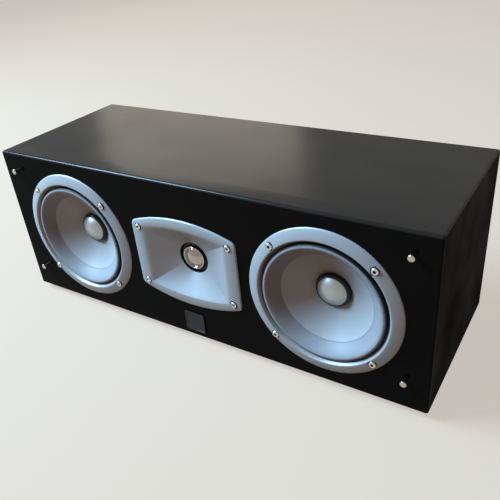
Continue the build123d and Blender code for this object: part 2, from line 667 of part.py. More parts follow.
dome_edge = DOME_COIL_RADIUS + DOME_COIL
roll_start = dome_edge + GLUE
roll_end = dome_edge + SUSPENSION_GAP
lip_ahead = MOTOR_FRONT + SUSPENSION
with BuildPart() as dome:
    with BuildSketch(half_section(0, HORN_Z)):
        with BuildLine():
            dome_arc(dome_edge, DOME_RIM, DOME_RISE)
            Line((0, DOME_RIM + DOME_RISE), (0, DOME_RIM + DOME_RISE - DOME_FILM))
            dome_arc(DOME_COIL_RADIUS, DOME_RIM, DOME_RISE - DOME_FILM)
            Line((DOME_COIL_RADIUS, DOME_RIM), (dome_edge, DOME_RIM))
        make_face()
    revolve(axis=driver_axis(0, HORN_Z))
keep(dome, "tweeter_dome")
coil_end = DOME_RIM - DOME_COIL_LENGTH
keep(ring(0, HORN_Z, DOME_COIL_RADIUS, dome_edge, coil_end, DOME_RIM), "tweeter_voice_coil")

roll_middle = (roll_start + roll_end) / 2
suspension = turned(
    0, HORN_Z, (roll_start, lip_ahead), (roll_start, DOME_RIM), (roll_middle, DOME_RIM + SUSPENSION_RISE),
    (roll_end, lip_ahead), (THROAT_RADIUS, lip_ahead), (THROAT_RADIUS, MOTOR_FRONT),
    (roll_end, MOTOR_FRONT), (roll_middle, DOME_RIM + SUSPENSION_RISE - SUSPENSION),
)
keep(suspension, "tweeter_suspension")
throat_ring = turned(
    0, HORN_Z, (roll_end + FIT, lip_ahead), (THROAT_RADIUS, lip_ahead), (THROAT_RADIUS, -THROAT_DEPTH),
    (roll_end + FIT, -THROAT_DEPTH),
)
keep(throat_ring, "tweeter_throat_ring")

tweeter_bore = dome_edge + DOME_GAP
tweeter_pole = DOME_COIL_RADIUS - DOME_GAP
keep(ring(0, HORN_Z, tweeter_bore, BOSS_RADIUS, TWEETER_PLATE_END, MOTOR_FRONT), "tweeter_top_plate")
keep(
    ring(0, HORN_Z, TWEETER_MAGNET_BORE, TWEETER_MAGNET_RADIUS, TWEETER_MAGNET_END, TWEETER_PLATE_END),
    "tweeter_magnet",
)
tweeter_yoke = turned(
    0, HORN_Z, (0, TWEETER_END), (BOSS_RADIUS, TWEETER_END), (BOSS_RADIUS, TWEETER_MAGNET_END),
    (tweeter_pole, TWEETER_MAGNET_END), (tweeter_pole, MOTOR_FRONT), (0, MOTOR_FRONT),
)
keep(tweeter_yoke, "tweeter_yoke")
can_inner = CAN_RADIUS - CAN_WALL
can_back = TWEETER_END - CAN_WALL
can_rim = TWEETER_END + CAN_LAP
rear_can = turned(
    0, HORN_Z, (0, can_back), (CAN_RADIUS, can_back), (CAN_RADIUS, can_rim),
    (can_inner, can_rim), (can_inner, TWEETER_END), (0, TWEETER_END),
)
keep(rear_can, "tweeter_rear_can")

# Terminals: a recessed cup in the rear board with two binding posts

post_places = [(-POST_SPACING / 2, 0), (POST_SPACING / 2, 0)]
with BuildPart() as terminal_cup:
    with BuildSketch(rear_plane()):
        RectangleRounded(CUP_WIDTH, CUP_HEIGHT, CUP_CORNER)
    extrude(amount=CUP_FLANGE)
    with BuildSketch(rear_plane()):
        RectangleRounded(RECESS_WIDTH + 2 * CUP_WALL, RECESS_HEIGHT + 2 * CUP_WALL, CUP_CORNER)
    extrude(amount=CUP_FLOOR - CUP_WALL)
    with BuildSketch(rear_plane(CUP_FLANGE)):
        RectangleRounded(RECESS_WIDTH, RECESS_HEIGHT, CUP_CORNER - CUP_WALL)
    extrude(amount=CUP_FLOOR - CUP_FLANGE, mode=Mode.SUBTRACT)
    with BuildSketch(rear_plane(CUP_FLOOR)):
        with Locations(*post_places):
            Circle(POST_RADIUS + THREAD_FIT)
    extrude(amount=-CUP_WALL, mode=Mode.SUBTRACT)
    with BuildSketch(rear_plane()):
        with GridLocations(cup_screw_x, cup_screw_z, 2, 2):
            Circle(CUP_SCREW_RADIUS + THREAD_FIT)
    extrude(amount=CUP_FLANGE, mode=Mode.SUBTRACT)
    with BuildSketch(rear_plane(CUP_FLANGE)):
        with GridLocations(cup_screw_x, cup_screw_z, 2, 2):
            Circle(CUP_SCREW_HEAD_RADIUS + FIT)
    extrude(amount=-CUP_SCREW_HEAD, mode=Mode.SUBTRACT)
keep(terminal_cup, "terminal_cup")

with BuildPart() as terminal_cup_screws:
    with BuildSketch(rear_plane(-CUP_SCREW_BITE)):
        with GridLocations(cup_screw_x, cup_screw_z, 2, 2):
            Circle(CUP_SCREW_RADIUS)
    extrude(amount=CUP_SCREW_BITE + CUP_FLANGE)
    with BuildSketch(rear_plane(CUP_FLANGE)):
        with GridLocations(cup_screw_x, cup_screw_z, 2, 2):
            Circle(CUP_SCREW_HEAD_RADIUS)
    extrude(amount=-CUP_SCREW_HEAD)
keep(terminal_cup_screws, "terminal_cup_screws")

with BuildPart() as terminal_posts:
    with BuildSketch(rear_plane(CUP_FLOOR - POST_TAIL)):
        with Locations(*post_places):
            Circle(POST_RADIUS)
    extrude(amount=POST_TAIL + POST_LENGTH)
    with BuildSketch(rear_plane(CUP_FLOOR)):
        with Locations(*post_places):
            Circle(POST_COLLAR_RADIUS)
    extrude(amount=POST_COLLAR)
    with BuildSketch(rear_plane(CUP_FLOOR + POST_LENGTH)):
        with Locations(*post_places):
            Circle(POST_BORE)
    extrude(amount=-POST_BORE_DEPTH, mode=Mode.SUBTRACT)
keep(terminal_posts, "terminal_posts")

with BuildPart() as terminal_nuts:
    with BuildSketch(rear_plane(CUP_FLOOR - CUP_WALL)):
        with Locations(*post_places):
            RegularPolygon(NUT_SIZE / 2, 6, major_radius=False)
            Circle(POST_RADIUS + THREAD_FIT, mode=Mode.SUBTRACT)
    extrude(amount=-NUT)
keep(terminal_nuts, "terminal_nuts")

for colour, place in (("red", post_places[0]), ("black", post_places[1])):
    with BuildPart() as washer:
        with BuildSketch(rear_plane(CUP_FLOOR + POST_COLLAR)):
            with Locations(place):
                Circle(WASHER_RADIUS)
                Circle(POST_RADIUS + KNOB_FIT, mode=Mode.SUBTRACT)
        extrude(amount=WASHER)
    keep(washer, f"{colour}_washer")
    with BuildPart() as knob:
        with BuildSketch(rear_plane(KNOB_SEAT)):
            with Locations(place):
                Circle(KNOB_RADIUS)
                with PolarLocations(KNOB_RADIUS, KNOB_FLUTES):
                    Circle(KNOB_FLUTE_RADIUS, mode=Mode.SUBTRACT)
                Circle(POST_RADIUS + KNOB_FIT, mode=Mode.SUBTRACT)
        extrude(amount=KNOB_LENGTH)
    keep(knob, f"{colour}_knob")

# Crossover: a card on spacers over the bottom board, with a choke, capacitors and a resistor

spacer_x = CARD_LENGTH - 2 * CARD_SPACER_INSET
spacer_y = CARD_WIDTH - 2 * CARD_SPACER_INSET
with BuildPart() as crossover_spacers:
    with BuildSketch(floor_plane(FOOT_HEIGHT + BOARD)):
        with GridLocations(spacer_x, spacer_y, 2, 2):
            Circle(CARD_SPACER_RADIUS)
    extrude(amount=CARD_SPACER)
keep(crossover_spacers, "crossover_spacers")

with BuildPart() as crossover_card:
    with BuildSketch(floor_plane(CARD_BOTTOM)):
        Rectangle(CARD_LENGTH, CARD_WIDTH)
    extrude(amount=CARD)
keep(crossover_card, "crossover_card")

choke_x = CARD_MARGIN + CHOKE_RADIUS - CARD_LENGTH / 2
with BuildPart() as crossover_choke:
    with BuildSketch(Plane(origin=(choke_x, CARD_Y, CARD_TOP), x_dir=(1, 0, 0), z_dir=(0, -1, 0))):
        with BuildLine():
            cheek_top = CHOKE_HEIGHT - CHOKE_CHEEK
            winding_edge = CHOKE_RADIUS - CHOKE_CHEEK_LIP
            Polyline(
                (CHOKE_CORE_RADIUS, 0), (CHOKE_RADIUS, 0), (CHOKE_RADIUS, CHOKE_CHEEK),
                (winding_edge, CHOKE_CHEEK), (winding_edge, cheek_top), (CHOKE_RADIUS, cheek_top),
                (CHOKE_RADIUS, CHOKE_HEIGHT), (CHOKE_CORE_RADIUS, CHOKE_HEIGHT), close=True,
            )
        make_face()
    revolve(axis=Axis((choke_x, CARD_Y, CARD_TOP), (0, 0, 1)))
keep(crossover_choke, "crossover_choke")

capacitor_x = CARD_LENGTH / 2 - CARD_MARGIN - CAPACITOR_LENGTH
capacitor_z = CARD_TOP + CAPACITOR_RADIUS
with BuildPart() as crossover_capacitors:
    with BuildSketch(Plane(origin=(capacitor_x, CARD_Y, capacitor_z), x_dir=(0, 1, 0), z_dir=(1, 0, 0))):
        with GridLocations(CAPACITOR_PITCH, 0, 2, 1):
            Circle(CAPACITOR_RADIUS)
    extrude(amount=CAPACITOR_LENGTH)
keep(crossover_capacitors, "crossover_capacitors")

with BuildPart() as crossover_resistor:
    with BuildSketch(floor_plane(CARD_TOP)):
        with Locations((0, CARD_MARGIN + RESISTOR_SIDE / 2 - CARD_WIDTH / 2)):
            Rectangle(RESISTOR_LENGTH, RESISTOR_SIDE)
    extrude(amount=RESISTOR_SIDE)
keep(crossover_resistor, "crossover_resistor")
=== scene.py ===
# %% [markdown]
# # A centre channel speaker
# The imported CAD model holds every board, driver and screw at its real size and place. This lesson dresses
# it: the parts that the eye rests on are modelled again with finer edges, every surface gets a finish
# made of nodes, and a camera looks at it from where the photograph was taken. Lengths in the lesson are
# millimetres, times MM.

# %% Load the frame
import json
from math import asin, atan2, cos, hypot, pi, radians, sin

import bmesh
import bpy
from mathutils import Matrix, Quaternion, Vector


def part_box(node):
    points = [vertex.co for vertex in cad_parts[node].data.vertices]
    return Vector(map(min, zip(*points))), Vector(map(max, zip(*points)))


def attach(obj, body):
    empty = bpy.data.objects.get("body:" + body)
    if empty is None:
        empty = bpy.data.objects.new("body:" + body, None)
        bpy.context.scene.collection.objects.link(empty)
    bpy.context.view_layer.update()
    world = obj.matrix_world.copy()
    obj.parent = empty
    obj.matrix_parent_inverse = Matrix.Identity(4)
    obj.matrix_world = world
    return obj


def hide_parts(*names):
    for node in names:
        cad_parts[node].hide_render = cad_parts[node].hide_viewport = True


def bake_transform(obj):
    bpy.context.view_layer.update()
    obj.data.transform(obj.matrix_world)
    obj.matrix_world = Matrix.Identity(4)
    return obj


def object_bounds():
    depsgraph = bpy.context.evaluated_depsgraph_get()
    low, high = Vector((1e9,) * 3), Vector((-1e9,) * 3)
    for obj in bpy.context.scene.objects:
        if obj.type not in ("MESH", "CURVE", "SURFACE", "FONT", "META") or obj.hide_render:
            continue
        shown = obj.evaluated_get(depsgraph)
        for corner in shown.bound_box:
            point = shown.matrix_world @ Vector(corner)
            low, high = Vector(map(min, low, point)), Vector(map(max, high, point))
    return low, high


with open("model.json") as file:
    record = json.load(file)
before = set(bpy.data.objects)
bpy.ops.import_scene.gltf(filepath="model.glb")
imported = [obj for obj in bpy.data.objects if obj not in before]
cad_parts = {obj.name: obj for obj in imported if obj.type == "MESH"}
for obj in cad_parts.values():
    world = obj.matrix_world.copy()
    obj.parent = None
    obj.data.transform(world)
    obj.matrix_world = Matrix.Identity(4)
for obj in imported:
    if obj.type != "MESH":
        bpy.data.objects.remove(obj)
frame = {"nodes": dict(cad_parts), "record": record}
cad_low, cad_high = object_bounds()
nodes = frame["nodes"]
MM = 0.001

# %% [markdown]
# The drivers are all set out from the face of the baffle. Their places could be typed in, but they would
# stay behind when the CAD model changes, so the lesson asks the frame where that face is and where the
# axes of the drivers run.

# %% Find the face and the axes
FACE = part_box("front_baffle")[0].y
ring_low, ring_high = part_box("left_woofer_trim_ring")
horn_low, horn_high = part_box("tweeter_waveguide")
WOOFER_X = -(ring_low.x + ring_high.x) / 2
WOOFER_Z = (ring_low.z + ring_high.z) / 2
HORN_Z = (horn_low.z + horn_high.z) / 2
print(f"face at y = {FACE:.5f}, woofers at x = ±{WOOFER_X:.4f}, horn at z = {HORN_Z:.4f}")

# %% [markdown]
# A camera is set by its place, the point it looks at, its lens and its roll. The photograph was taken
# from above and to the right with the camera tilted a little, which is why the far end of the cabinet
# rises. The roll is a turn about the camera's own line of sight, so it is multiplied on after the look-at
# rotation.

# %% Camera
EYE = Vector((0.31198, -0.42527, 0.37188))
TARGET = Vector((0.07282, -0.08025, 0.12320))
LENS = 42.13
ROLL = Quaternion((0, 0, 1), radians(-5.69))
bpy.ops.object.camera_add(location=EYE)
camera = bpy.context.object
camera.data.lens = LENS
camera.data.clip_start = 0.01
camera.rotation_mode = "QUATERNION"
camera.rotation_quaternion = (TARGET - EYE).to_track_quat("-Z", "Y") @ ROLL
bpy.context.scene.camera = camera
bpy.context.scene.view_settings.view_transform = "Standard"
print(f"camera {(TARGET - EYE).length:.3f} m from its target, {LENS} mm lens")

# %% [markdown]
# Nodes could be added and linked one by one, but shader maths reads best as sums. This class wraps a
# node's output socket: adding, multiplying or subtracting two of them, or one and a number, adds the Math
# node that does it. Every other node comes from the method `node`, which takes the node's type, its
# settings, and a value or a link for each of its sockets.

# %% Signals
class Signal:
    """An output socket of a node tree that can be used in sums."""

    def __init__(self, tree, socket=None):
        self.tree = tree
        self.socket = socket

    def node(self, kind, sockets=None, out=0, **settings):
        """Add a node, make its settings, then fill its sockets; hand back one of its outputs."""
        made = self.tree.nodes.new("ShaderNode" + kind)
        for name, value in settings.items():
            setattr(made, name, value)
        for name, value in (sockets or {}).items():
            if isinstance(value, Signal):
                self.tree.links.new(value.socket, made.inputs[name])
            else:
                made.inputs[name].default_value = value
        return Signal(self.tree, made.outputs[out] if made.outputs else None)

    def maths(self, operation, first, second=0.0):
        return self.node("Math", {0: first, 1: second}, operation=operation)

    def __add__(self, other):
        return self.maths("ADD", self, other)

    def __sub__(self, other):
        return self.maths("SUBTRACT", self, other)

    def __rsub__(self, other):
        return self.maths("SUBTRACT", other, self)

    def __mul__(self, other):
        return self.maths("MULTIPLY", self, other)

    __radd__ = __add__
    __rmul__ = __mul__


print("signals ready")

# %% [markdown]
# A finish needs the same few things again and again: where a point lies, a ramp between two values,
# cloudy noise, a colour between two others and a bump. Each is a function of one node or two. All of them
# start from the object coordinates, which stay with the speaker when it is exported.

# %% Finish helpers
def new_finish(name):
    """An empty material, and the signal of the object coordinates in it."""
    material = bpy.data.materials.new(name)
    material.use_nodes = True
    material.node_tree.nodes.clear()
    return material, Signal(material.node_tree).node("TexCoord", out="Object")


def surface(place, values):
    """End a material with a shader that has these values."""
    shader = place.node("BsdfPrincipled", values, out="BSDF")
    place.node("OutputMaterial", {"Surface": shader})


def along(place, axis):
    """One of a point's three coordinates."""
    return place.node("SeparateXYZ", {0: place}, out=axis)


def sideways(place):
    """How far a point lies from the middle of the cabinet, to the left or to the right."""
    return place.maths("ABSOLUTE", along(place, "X"))


def ramp(value, start, end):
    """0 up to one value of a signal, 1 from another value on, and an even rise between them."""
    return value.node("MapRange", {"Value": value, "From Min": start, "From Max": end})


def noise(place, grain, detail=3.0):
    """Cloudy noise whose clouds are about `grain` millimetres across, from 0 to 1."""
    return place.node("TexNoise", {"Vector": place, "Scale": 1 / (grain * MM), "Detail": detail})


def mixed(share, first, second):
    """A colour between two, by a share from 0 to 1. Each is a signal or three numbers."""
    ends = [end if isinstance(end, Signal) else (*end, 1) for end in (first, second)]
    return share.node("Mix", {0: share, 6: ends[0], 7: ends[1]}, out=2, data_type="RGBA")


def bumped(height, depth):
    """A normal from a height signal that stands for `depth` millimetres."""
    return height.node("Bump", {"Height": height, "Distance": depth * MM})


print("finish helpers ready")

# %% [markdown]
# The cabinet is sprayed black all over. Its front is then polished like a piano, almost to a mirror, and
# the other sides keep the satin of the spray. Two materials could meet at the rim, but one is easier to
# keep even: two shaders make the two looks, and a mask from the coordinates mixes them, full at the face
# and its rounded rim, gone behind it and along the top edge. The black itself hardly shines. The shine is
# a clear coat over it, and Coat Weight is how much of it there is: less along the front's top edge, and
# very little on the two ends. Under the polished coat the black has a faint ripple, as on an orange's
# skin, and under the satin coat a fine grain.

# %% Finish: black lacquer
black_lacquer, place = new_finish("black_lacquer")
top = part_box("front_baffle")[1].z
front = ramp(along(place, "Y"), FACE + 3.2 * MM, FACE + 2.6 * MM)
edge = ramp(along(place, "Z"), top - 2.1 * MM, top - 1.8 * MM)
ends = ramp(sideways(place), cad_high.x - 0.4 * MM, cad_high.x - 0.1 * MM)
haze = noise(place, 60.0, detail=4.0)
black = {"Specular IOR Level": 0.0, "Roughness": 0.5}
satin = place.node("BsdfPrincipled", black | {
    "Base Color": mixed(haze, (0.013, 0.0095, 0.0075), (0.018, 0.0135, 0.011)),
    "Coat Weight": 0.32 + haze * 0.12 + front * edge * -0.2 - ends * 0.34,
    "Coat IOR": 1.8,
    "Coat Roughness": 0.2,
    "Normal": bumped(noise(place, 0.4, detail=2.0), 0.006),
}, out="BSDF")
mirror = place.node("BsdfPrincipled", black | {
    "Base Color": mixed(haze, (0.0025, 0.0018, 0.0016), (0.0045, 0.0034, 0.003)),
    "Coat Weight": 0.085 + haze * 0.03,
    "Coat Roughness": 0.03,
    "Normal": bumped(noise(place, 16.0, detail=1.0), 0.02),
}, out="BSDF")
lacquer = place.node("MixShader", {0: front * (1 - edge), 1: satin, 2: mirror})
place.node("OutputMaterial", {"Surface": lacquer})
print("one black lacquer, polished in front and satin behind")

# %% [markdown]
# Silver paint is full of small metal flakes that lie at slightly different angles. A plain grey with some
# metal in it would look like plastic from close by, so a cell noise gives each flake its own tone, and
# that tone goes into the colour, the roughness and the bump. The flakes are a fifth of a millimetre, too
# small to count from here, and they break up the highlight the way the real paint does.

# %% Finish: silver paint
silver_paint, place = new_finish("silver_paint")
cells = place.node("TexVoronoi", {"Vector": place, "Scale": 1 / (0.2 * MM)}, out="Color")
flake = cells.node("RGBToBW", {"Color": cells})
cloud = noise(place, 30.0)
surface(place, {
    "Base Color": mixed(flake, (0.33, 0.33, 0.335), (0.41, 0.41, 0.415)),
    "Metallic": 0.24,
    "Specular IOR Level": 0.3,
    "Roughness": 0.38 + flake * 0.07 + cloud * 0.04,
    "Normal": bumped(flake, 0.004),
})
print("silver paint on the rings and the waveguide")

# %% [markdown]
# The cones are light metal, spun on a lathe, then anodised. The tool leaves rings too fine to see one by
# one, which stretch the highlight. They could be modelled, but thousands of faces would go into what a
# bump does as well. The distance from the nearest woofer's axis comes from the coordinates: taking x
# without its sign folds the left woofer onto the right one, so one finish serves both.

# %% Finish: cone metal
LATHE_STEP = 0.45


def woofer_radius(place):
    """Distance from the axis of the nearer woofer, in millimetres."""
    off_x = sideways(place) - WOOFER_X
    off_z = along(place, "Z") - WOOFER_Z
    return place.maths("SQRT", off_x * off_x + off_z * off_z) * (1 / MM)


cone_metal, place = new_finish("cone_metal")
lathe = place.maths("SINE", woofer_radius(place) * (2 * pi / LATHE_STEP)) * 0.5 + 0.5
cloud = noise(place, 18.0, detail=4.0)
surface(place, {
    "Base Color": mixed(cloud, (0.405, 0.40, 0.405), (0.455, 0.45, 0.455)),
    "Metallic": 0.15,
    "Specular IOR Level": 0.1,
    "Roughness": 0.40 + cloud * 0.06 + lathe * 0.03,
    "Normal": bumped(lathe, 0.003),
})
print("spun metal on the cones")

# %% [markdown]
# The surround is soft moulded rubber, grey, with the slight bloom that rubber gets. Bloom is paler and
# duller, so one cloud drives both the colour and the roughness. Both of its edges carry painted shade: a
# dark line in the groove beside the trim ring and a faint one at the step onto the cone. A second material
# on those faces would need edges of its own, so the painted shade is a matter of the radius instead.

# %% Finish: surround rubber
surround_rubber, place = new_finish("surround_rubber")
radius = woofer_radius(place)
# Painted shade: outside darkens the groove beside the trim ring, inside faintly darkens the step onto the
# cone.
outside = ramp(radius, 54.0, 54.5)
inside = ramp(radius, 42.5, 42.0)
bloom = noise(place, 9.0, detail=5.0)
pores = noise(place, 0.5)
rubber = mixed(bloom, (0.265, 0.256, 0.27), (0.307, 0.298, 0.312))
surface(place, {
    "Base Color": mixed(outside + inside * 0.1, rubber, (0.006, 0.007, 0.010)),
    "Metallic": 0.05,
    "Specular IOR Level": 0.3,
    "Roughness": 0.45 + bloom * 0.1,
    "Normal": bumped(pores, 0.012),
})
print("rubber on the surrounds")

# %% [markdown]
# The screws are bright steel, and their sockets are painted dark and dull as painted shade, since little
# light gets down into them. That shade could be painted by hand, but how deep a point lies below the head's
# crown is enough, and that comes from y. The horn's screws sit about a millimetre lower than those of the
# rings, which x tells apart, and the screws of the rear cup are far behind the face, so they are left
# bright.

# %% Finish: screw steel
HORN_REACH = 0.07
HORN_DROP = 1.1
screw_steel, place = new_finish("screw_steel")
ahead = (FACE - along(place, "Y")) * (1 / MM)
sunk = ahead + place.maths("LESS_THAN", sideways(place), HORN_REACH) * HORN_DROP
# Painted shade: the sockets turn black and rough the deeper a point lies below the crown.
socket_shade = ramp(sunk, 3.75, 3.3) * place.maths("GREATER_THAN", ahead, -20.0)
tone = noise(place, 1.5)
steel = mixed(tone, (0.58, 0.57, 0.56), (0.72, 0.71, 0.70))
surface(place, {
    "Base Color": mixed(socket_shade, steel, (0.006, 0.006, 0.007)),
    "Metallic": 1.0,
    "Roughness": 0.16 + tone * 0.14 + socket_shade * 0.4,
    "Normal": bumped(noise(place, 0.3), 0.004),
})
print("screw steel with dark sockets")

# %% [markdown]
# Many finishes are one colour with some life in it: a cloud that drives the colour and the roughness, and
# a fine grain on the surface. One function writes them, and each call is a finish of its own. These are
# the ones that can be seen from outside.

# %% Finishes outside
def mottled(name, dark, light, cloud, rough, grain, depth, **constants):
    """Clouds of two colours `cloud` mm across, a range of roughness, and a grain of `depth` mm."""
    material, place = new_finish(name)
    patches = noise(place, cloud, detail=4.0)
    surface(place, {
        "Base Color": mixed(patches, dark, light),
        "Roughness": rough[0] + patches * (rough[1] - rough[0]),
        "Normal": bumped(noise(place, grain), depth),
        **{socket.replace("_", " "): value for socket, value in constants.items()},
    })
    return material


gloss_black = mottled(
    "gloss_black", (0.004, 0.004, 0.005), (0.008, 0.008, 0.010), 6, (0.16, 0.26), 2, 0.004,
    Specular_IOR_Level=0.3)
cap_metal = mottled(
    "cap_metal", (0.47, 0.47, 0.46), (0.55, 0.55, 0.54), 5, (0.36, 0.44), 0.3, 0.003, Metallic=0.75)
# Painted reflection: the silver dome's colour is tinted brown, as if it mirrored a warm room.
dome_metal = mottled(
    "dome_metal", (0.38, 0.335, 0.30), (0.46, 0.41, 0.37), 7, (0.07, 0.12), 1.5, 0.002, Metallic=1.0)
peg_plate = mottled(
    "peg_plate", (0.50, 0.43, 0.35), (0.62, 0.55, 0.46), 2, (0.12, 0.22), 0.4, 0.003, Metallic=1.0)
black_rubber = mottled(
    "black_rubber", (0.012, 0.012, 0.012), (0.028, 0.027, 0.026), 4, (0.6, 0.8), 0.4, 0.02)
cup_plastic = mottled(
    "cup_plastic", (0.011, 0.011, 0.011), (0.02, 0.02, 0.02), 12, (0.42, 0.55), 0.45, 0.03)
rear_foil = mottled(
    "rear_foil", (0.013, 0.0125, 0.012), (0.024, 0.023, 0.022), 45, (0.38, 0.5), 0.4, 0.02)
red_plastic = mottled(
    "red_plastic", (0.36, 0.012, 0.010), (0.46, 0.018, 0.014), 3, (0.22, 0.32), 0.6, 0.006)
knob_plastic = mottled(
    "knob_plastic", (0.010, 0.010, 0.010), (0.018, 0.018, 0.018), 3, (0.24, 0.34), 0.6, 0.006)
gold_plate = mottled(
    "gold_plate", (0.74, 0.50, 0.18), (0.86, 0.63, 0.28), 2, (0.14, 0.24), 0.4, 0.003, Metallic=1.0)
print("10 plain finishes outside")

# %% [markdown]
# The inside of the closed box is dressed as well, because someone may take the part to pieces: plated
# steel and ferrite in the magnets, painted baskets, woven spiders, copper coils, wadding, and the
# crossover's card.

# %% Finishes inside
plate_steel = mottled(
    "plate_steel", (0.44, 0.44, 0.42), (0.56, 0.56, 0.55), 8, (0.28, 0.42), 0.5, 0.01, Metallic=1.0)
ferrite = mottled(
    "ferrite", (0.035, 0.035, 0.037), (0.075, 0.073, 0.072), 6, (0.55, 0.75), 0.6, 0.05)
basket_paint = mottled(
    "basket_paint", (0.012, 0.012, 0.012), (0.024, 0.024, 0.024), 9, (0.34, 0.48), 0.5, 0.02)
spider_cloth = mottled(
    "spider_cloth", (0.40, 0.29, 0.11), (0.56, 0.43, 0.20), 3, (0.7, 0.85), 0.35, 0.08)
coil_copper = mottled(
    "coil_copper", (0.50, 0.20, 0.08), (0.70, 0.33, 0.15), 2, (0.22, 0.36), 0.25, 0.04, Metallic=0.9)
wadding = mottled(
    "wadding", (0.62, 0.62, 0.59), (0.84, 0.84, 0.81), 7, (0.85, 0.97), 0.9, 0.6)
card_laminate = mottled(
    "card_laminate", (0.27, 0.15, 0.06), (0.38, 0.23, 0.10), 5, (0.45, 0.6), 0.4, 0.02)
capacitor_film = mottled(
    "capacitor_film", (0.05, 0.10, 0.27), (0.09, 0.16, 0.36), 4, (0.18, 0.3), 0.5, 0.005)
resistor_cement = mottled(
    "resistor_cement", (0.60, 0.59, 0.54), (0.76, 0.75, 0.70), 3, (0.75, 0.9), 0.4, 0.06)
print("9 plain finishes inside")

# %% [markdown]
# The record names a material slot for every CAD node. A table from slot to finish dresses them all in one
# loop. Only the material slot of the object changes: the CAD mesh itself is never touched.

# %% Dress the CAD nodes
FINISHES = {
    "gloss_black_board": black_lacquer, "black_rear_board": rear_foil, "silver_trim": silver_paint,
    "silver_cone": cone_metal, "grey_rubber": surround_rubber, "black_gloss_plastic": gloss_black,
    "cap_silver": cap_metal, "dome_metal": dome_metal, "spider_cloth": spider_cloth,
    "coil_copper": coil_copper, "plate_steel": plate_steel, "ferrite": ferrite,
    "basket_paint": basket_paint, "screw_steel": screw_steel, "peg_metal": peg_plate,
    "black_rubber": black_rubber, "wadding": wadding, "black_plastic": cup_plastic,
    "card_laminate": card_laminate, "capacitor_film": capacitor_film, "resistor_cement": resistor_cement,
    "post_gold": gold_plate, "red_plastic": red_plastic, "black_knob_plastic": knob_plastic,
}
for subpart in frame["record"]["subparts"]:
    nodes[subpart["node"]].material_slots[0].material = FINISHES[subpart["material_slot"]]

# %% [markdown]
# Most of what shows on a driver was turned or pressed round an axis. A cylinder could be pushed into such
# a shape ring by ring, but the way of a lathe is exact: an outline is drawn from point to point, then
# spun once round. The outline is a list of points, each a radius and a distance ahead of the face. Two
# helpers draw its curves: a true arc, and a corner that is rounded off.

# %% Curves for outlines
def arc(first, via, last, steps):
    """Points on the circle through three points, from the first to the last."""
    (ax, ay), (bx, by), (cx, cy) = first, via, last
    a, b, c = ax * ax + ay * ay, bx * bx + by * by, cx * cx + cy * cy
    scale = 2 * (ax * (by - cy) + bx * (cy - ay) + cx * (ay - by))
    mx = (a * (by - cy) + b * (cy - ay) + c * (ay - by)) / scale
    my = (a * (cx - bx) + b * (ax - cx) + c * (bx - ax)) / scale
    start = atan2(ay - my, ax - mx)
    sweep = (atan2(cy - my, cx - mx) - start) % (2 * pi)
    if (atan2(by - my, bx - mx) - start) % (2 * pi) > sweep:
        sweep -= 2 * pi
    size = hypot(ax - mx, ay - my)
    turns = [start + sweep * step / steps for step in range(steps + 1)]
    return [(mx + size * cos(turn), my + size * sin(turn)) for turn in turns]


def eased(first, corner, last, steps):
    """A curve from one point to another that leans towards the corner between them."""
    shares = [step / steps for step in range(steps + 1)]
    return [tuple((1 - t) ** 2 * a + 2 * t * (1 - t) * b + t * t * c
                  for a, b, c in zip(first, corner, last)) for t in shares]


print(f"an arc in 8 steps has {len(arc((1, 0), (0, 1), (-1, 0), 8))} points")

# %% [markdown]
# A plane merged to one vertex starts the outline, and each point is an extrusion of the last. The spin
# goes all the way round, so its two ends meet and their doubles are merged. A spin can leave a shape
# inside out, which is why the normals are made to point outwards before the piece is shaded smooth.

# %% Turning tools
def close_up(piece, angle):
    """Leave edit mode with merged doubles, outward faces and smooth shading up to an angle."""
    bpy.ops.mesh.select_all(action="SELECT")
    bpy.ops.mesh.remove_doubles(threshold=0.002 * MM)
    bpy.ops.mesh.delete_loose(use_verts=True, use_edges=True, use_faces=False)
    bpy.ops.mesh.select_all(action="SELECT")
    bpy.ops.mesh.normals_make_consistent(inside=False)
    bpy.ops.object.mode_set(mode="OBJECT")
    bpy.ops.object.transform_apply(location=True, rotation=True, scale=True)
    bpy.ops.object.shade_smooth_by_angle(angle=radians(angle))
    return piece


def turned(name, outline, x, z, steps=128, angle=30):
    """A closed outline of (radius, ahead) points, in millimetres, spun round an axis."""
    bpy.ops.object.select_all(action="DESELECT")
    radius, ahead = outline[0]
    bpy.ops.mesh.primitive_plane_add(size=MM, location=(x + radius * MM, FACE - ahead * MM, z))
    piece = bpy.context.object
    piece.name = name
    bpy.ops.object.mode_set(mode="EDIT")
    bpy.ops.mesh.select_mode(type="VERT")
    bpy.ops.mesh.merge(type="CENTER")
    for (radius, ahead), (next_radius, next_ahead) in zip(outline, outline[1:] + outline[:1]):
        step = ((next_radius - radius) * MM, (ahead - next_ahead) * MM, 0)
        bpy.ops.mesh.extrude_vertices_move(TRANSFORM_OT_translate={"value": step})
    bpy.ops.mesh.select_all(action="SELECT")
    bpy.ops.mesh.spin(steps=steps, angle=2 * pi, center=(x, FACE, z), axis=(0, 1, 0))
    return close_up(piece, angle)


print("turning tools ready")

# %% [markdown]
# The two woofers are alike, so every piece of the left one is copied across to the right one, with a mesh
# of its own. Screw wells are round holes that a spin can't give. They could be modelled into the mesh by
# hand, but a Boolean modifier drills them at any place. At the end, each piece is settled: it gets its
# finish, hides the CAD nodes that it stands for, and rides on the body that carries it.

# %% Copies, holes and homes
def active(piece):
    """Select one object alone."""
    bpy.ops.object.select_all(action="DESELECT")
    piece.select_set(True)
    bpy.context.view_layer.objects.active = piece


def copied(piece, name, shift):
    """A copy with a mesh of its own, moved by a shift in metres."""
    active(piece)
    bpy.ops.object.duplicate()
    copy = bpy.context.object
    copy.name = name
    copy.location = shift
    bpy.ops.object.transform_apply(location=True, rotation=False, scale=False)
    return copy


def across(piece, name):
    """The right woofer's copy of a piece of the left one."""
    return copied(piece, name, (2 * WOOFER_X, 0, 0))


